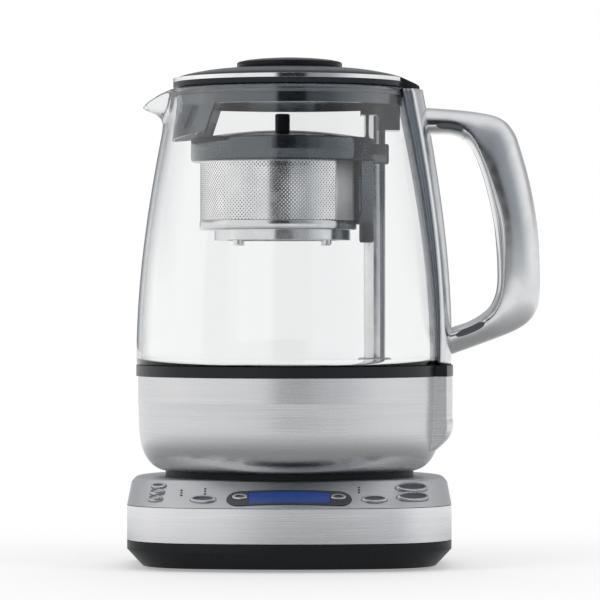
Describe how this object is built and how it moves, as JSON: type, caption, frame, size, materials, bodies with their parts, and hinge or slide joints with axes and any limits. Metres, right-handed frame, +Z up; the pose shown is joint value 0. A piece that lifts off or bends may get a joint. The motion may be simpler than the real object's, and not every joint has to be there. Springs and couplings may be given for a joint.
{
  "type": "automatic tea maker",
  "caption": "Glass tea maker on a power base: barrel jug with spout, loop handle and lift-off lid, and a motor-lifted mesh basket on a post above a heated floor.",
  "frame": {"origin": "point on the table under the axis of the jug", "axes": "+Z up, +X towards the handle, -X towards the spout, -Y towards the control panel"},
  "size_m": [0.215, 0.1725, 0.2647],
  "materials": {
    "rubber_black": "matt rubber",
    "black_plastic": "satin black moulding",
    "gloss_black": "smooth black",
    "smoke_plastic": "smoky tinted",
    "inner_plastic": "moulded",
    "grey_plastic": "dark grey moulding",
    "gasket_black": "smooth seal",
    "seal_grey": "silicone",
    "brushed_steel": "brushed",
    "satin_steel": "satin",
    "satin_polish": "satin polished",
    "polished_steel": "polished",
    "mesh_steel": "perforated sheet",
    "chrome_trim": "chrome",
    "screw_steel": "zinc plated",
    "button_metal": "metallised cap",
    "bezel_dark": "smoked",
    "display_blue": "backlit blue",
    "led_window": "unlit lens",
    "circuit_board": "solder mask",
    "element_aluminium": "cast",
    "gear_nylon": "nylon",
    "magnet_dark": "sintered",
    "clear_glass": "clear borosilicate"
  },
  "bodies": {
    "power_base": {"rubber_feet": "rubber_black", "base_plinth": "black_plastic", "base_screws": "screw_steel", "side_band": "brushed_steel", "top_plate": "satin_steel", "panel_carrier": "inner_plastic", "display_bezel": "bezel_dark", "display_lens": "display_blue", "display_module": "inner_plastic", "indicator_leds": "led_window", "button_switches": "inner_plastic", "control_board": "circuit_board", "cord_inlet": "rubber_black", "connector_plug": "black_plastic"},
    "jug": {"jug_bowl": "brushed_steel", "jug_base_cover": "black_plastic", "cover_screws": "screw_steel", "connector_socket": "black_plastic", "jug_gasket": "gasket_black", "heater_plate": "polished_steel", "heating_element": "element_aluminium", "temperature_sensor": "screw_steel", "thermal_cutout": "inner_plastic", "glass_body": "clear_glass", "spine_cover": "polished_steel", "spine_liner": "grey_plastic", "handle_shell": "satin_polish", "handle_insert": "polished_steel", "handle_pads": "grey_plastic", "handle_screws": "screw_steel", "lift_post": "polished_steel", "gear_bracket": "screw_steel", "lift_motor": "screw_steel"},
    "pinion": {"motor_pinion": "gear_nylon"},
    "screw": {"lead_screw": "screw_steel", "screw_gear": "gear_nylon"},
    "magnet_carriage": {"lift_magnet": "magnet_dark"},
    "basket": {"basket_ring": "grey_plastic", "pod_magnets": "magnet_dark", "basket_wall": "mesh_steel", "basket_floor": "mesh_steel", "foot_ring": "polished_steel"},
    "basket_cover": {"basket_lid": "grey_plastic", "basket_lid_knob": "black_plastic"},
    "lid": {"lid_cap": "smoke_plastic", "lid_trim_ring": "chrome_trim", "lid_knob": "gloss_black", "lid_skirt": "grey_plastic", "lid_seal": "seal_grey", "lid_underplate": "grey_plastic", "spout_strainer": "grey_plastic"},
    "power_button_body": {"power_button": "button_metal"},
    "start_button_body": {"start_button": "button_metal"},
    "strength_button_body": {"strength_button": "button_metal"},
    "plus_button_body": {"plus_button": "button_metal"},
    "minus_button_body": {"minus_button": "button_metal"},
    "tea_type_button_body": {"tea_type_button": "button_metal"},
    "clock_button_body": {"clock_button": "button_metal"},
    "timer_button_body": {"timer_button": "button_metal"},
    "basket_button_body": {"basket_button": "button_metal"}
  },
  "joints": [
    {"name": "jug_lift", "type": "slide", "parent": "power_base", "child": "jug", "axis": [0, 0, 1], "range_m": [0, 0.08]},
    {"name": "lid_lift", "type": "slide", "parent": "jug", "child": "lid", "axis": [0, 0, 1], "range_m": [0, 0.05]},
    {"name": "basket_slide", "type": "slide", "parent": "jug", "child": "basket", "axis": [0, 0, -1], "range_m": [0, 0.056]},
    {"name": "basket_cover_lift", "type": "slide", "parent": "basket", "child": "basket_cover", "axis": [0, 0, 1], "range_m": [0, 0.005]},
    {"name": "magnet_slide", "type": "slide", "parent": "jug", "child": "magnet_carriage", "axis": [0, 0, -1], "range_m": [0, 0.0565]},
    {"name": "screw_spin", "type": "hinge", "parent": "jug", "child": "screw", "pos_m": [0.0447, 0, 0.0737], "axis": [0, 0, 1], "range_deg": [0, 2525]},
    {"name": "pinion_spin", "type": "hinge", "parent": "jug", "child": "pinion", "pos_m": [0.03255, 0, 0.0737], "axis": [0, 0, 1], "range_deg": [-7575, 0]},
    {"name": "power_button_press", "type": "slide", "parent": "power_base", "child": "power_button_body", "axis": [-0.2808, 0.4905, -0.825], "range_m": [0, 0.0007], "stiffness_N_per_m": 600, "springref_m": -0.0008},
    {"name": "start_button_press", "type": "slide", "parent": "power_base", "child": "start_button_body", "axis": [-0.288, 0.4894, -0.8231], "range_m": [0, 0.0007], "stiffness_N_per_m": 600, "springref_m": -0.0008},
    {"name": "strength_button_press", "type": "slide", "parent": "power_base", "child": "strength_button_body", "axis": [-0.1118, 0.5055, -0.8555], "range_m": [0, 0.0007], "stiffness_N_per_m": 600, "springref_m": -0.0008},
    {"name": "plus_button_press", "type": "slide", "parent": "power_base", "child": "plus_button_body", "axis": [-0.0637, 0.5077, -0.8592], "range_m": [0, 0.0007], "stiffness_N_per_m": 600, "springref_m": -0.0008},
    {"name": "minus_button_press", "type": "slide", "parent": "power_base", "child": "minus_button_body", "axis": [0.0637, 0.5077, -0.8592], "range_m": [0, 0.0007], "stiffness_N_per_m": 600, "springref_m": -0.0008},
    {"name": "tea_type_button_press", "type": "slide", "parent": "power_base", "child": "tea_type_button_body", "axis": [0.1126, 0.5055, -0.8555], "range_m": [0, 0.0007], "stiffness_N_per_m": 600, "springref_m": -0.0008},
    {"name": "clock_button_press", "type": "slide", "parent": "power_base", "child": "clock_button_body", "axis": [0.3859, 0.4704, -0.7936], "range_m": [0, 0.0007], "stiffness_N_per_m": 600, "springref_m": -0.0008},
    {"name": "timer_button_press", "type": "slide", "parent": "power_base", "child": "timer_button_body", "axis": [0.3721, 0.4735, -0.7983], "range_m": [0, 0.0007], "stiffness_N_per_m": 600, "springref_m": -0.0008},
    {"name": "basket_button_press", "type": "slide", "parent": "power_base", "child": "basket_button_body", "axis": [0.3614, 0.4759, -0.8018], "range_m": [0, 0.0007], "stiffness_N_per_m": 600, "springref_m": -0.0008}
  ],
  "couplings": [
    {"joint": "magnet_slide", "follows": "basket_slide", "ratio": 1},
    {"joint": "screw_spin", "follows": "basket_slide", "rad_per_m": 785.4},
    {"joint": "pinion_spin", "follows": "basket_slide", "rad_per_m": -2356.2}
  ]
}
